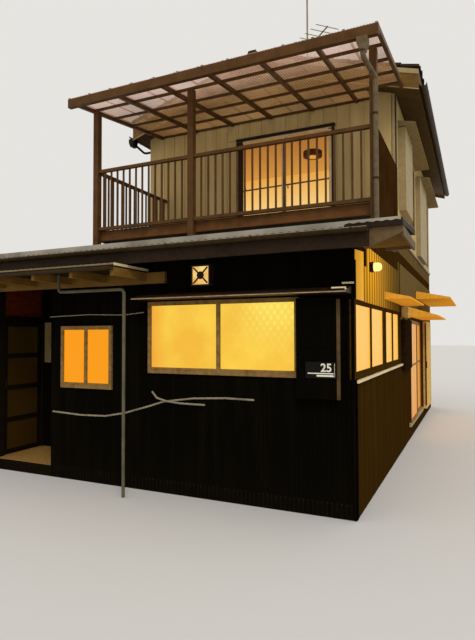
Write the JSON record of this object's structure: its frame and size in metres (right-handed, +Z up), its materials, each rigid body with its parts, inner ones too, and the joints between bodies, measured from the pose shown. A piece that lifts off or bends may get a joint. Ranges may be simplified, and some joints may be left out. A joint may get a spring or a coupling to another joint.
{
  "type": "two-storey timber townhouse",
  "caption": "Compact timber townhouse in dark ribbed cladding with a roofed balcony over its low front roof, a porch roof, window hoods, sliding side door and an entrance recess",
  "frame": {"origin": "at ground level, under the middle of the ground-floor plan, on the underside of the foundation", "axes": "+Z up, the street front faces -Y, the passage side with the sliding door faces +X"},
  "size_m": [6.04, 9.165, 8.6],
  "materials": {
    "concrete": "rough cast",
    "floor_boards": "satin boards",
    "black_cladding": "matt ribbed sheet",
    "side_cladding": "matt ribbed sheet",
    "cream_siding": "matt ribbed sheet",
    "roof_tile": "matt",
    "brown_board": "painted",
    "brown_gutter": "matt",
    "roof_sheet": "corrugated",
    "cream_board": "painted",
    "bronze_aluminium": "bronze anodised",
    "deck_boards": "ribbed",
    "clear_sheet": "ribbed, see-through",
    "timber": "weathered",
    "grey_pipe": "matt",
    "silver_aluminium": "satin anodised",
    "lit_glass": "figured",
    "cream_metal": "satin",
    "dark_metal": "satin",
    "door_timber": "dark stained",
    "white_plastic": "matt",
    "lamp_glass": "opal",
    "plate_metal": "satin"
  },
  "bodies": {
    "house": {"back_wall": "side_cladding", "balcony_deck": "deck_boards", "balcony_fascia": "bronze_aluminium", "balcony_railings": "bronze_aluminium", "balcony_side_panel": "bronze_aluminium", "bargeboards": "brown_board", "corner_return_box": "cream_board", "entry_head": "door_timber", "entry_posts": "door_timber", "foundation": "concrete", "front_shutter_case": "dark_metal", "front_wall": "black_cladding", "front_window_hood": "dark_metal", "ground_floor": "floor_boards", "ground_window_frames": "silver_aluminium", "ground_window_glass": "lit_glass", "house_number_plate": "plate_metal", "lantern_case": "dark_metal", "lean_to_front_board": "brown_board", "lean_to_roof": "roof_sheet", "left_front_wall": "black_cladding", "left_wall": "side_cladding", "porch_drain_pipe": "grey_pipe", "porch_frame": "timber", "porch_roof": "roof_sheet", "rear_canopy": "cream_metal", "recess_back_wall": "black_cladding", "recess_side_wall": "black_cladding", "right_wall_at_door": "side_cladding", "right_wall_far": "side_cladding", "right_wall_near": "side_cladding", "roof_aerial": "silver_aluminium", "roof_gutters": "brown_gutter", "roof_left": "roof_tile", "roof_ridge": "roof_tile", "roof_right": "roof_tile", "side_door_frame": "silver_aluminium", "side_hoods": "cream_metal", "side_strip_roof": "roof_sheet", "side_wall_cases": "dark_metal", "terrace_posts": "bronze_aluminium", "terrace_roof_frame": "bronze_aluminium", "terrace_roof_sheet": "clear_sheet", "upper_back_wall": "cream_siding", "upper_floor": "timber", "upper_front_wall": "cream_siding", "upper_left_wall": "cream_siding", "upper_right_wall": "cream_siding", "upper_shutter_cases": "cream_metal", "upper_window_frames": "silver_aluminium", "upper_window_glass": "lit_glass", "wall_conduits": "white_plastic", "wall_lamp_base": "dark_metal", "wall_lamp_globe": "lamp_glass"},
    "side_door_near": {"side_door_near_leaf": "silver_aluminium", "side_door_near_glass": "lit_glass"},
    "side_door_far": {"side_door_far_leaf": "silver_aluminium", "side_door_far_glass": "lit_glass"},
    "entry_door": {"entry_door_leaf": "door_timber", "entry_door_glass": "lit_glass"}
  },
  "joints": [
    {"name": "side_door_near_slide", "type": "slide", "parent": "house", "child": "side_door_near", "axis": [0, 1, 0], "range_m": [0, 0.98]},
    {"name": "side_door_far_slide", "type": "slide", "parent": "house", "child": "side_door_far", "axis": [0, -1, 0], "range_m": [0, 0.98]},
    {"name": "entry_door_hinge", "type": "hinge", "parent": "house", "child": "entry_door", "pos_m": [-1.85, -3.3353, 1], "axis": [0, 0, 1], "range_deg": [0, 90]}
  ]
}
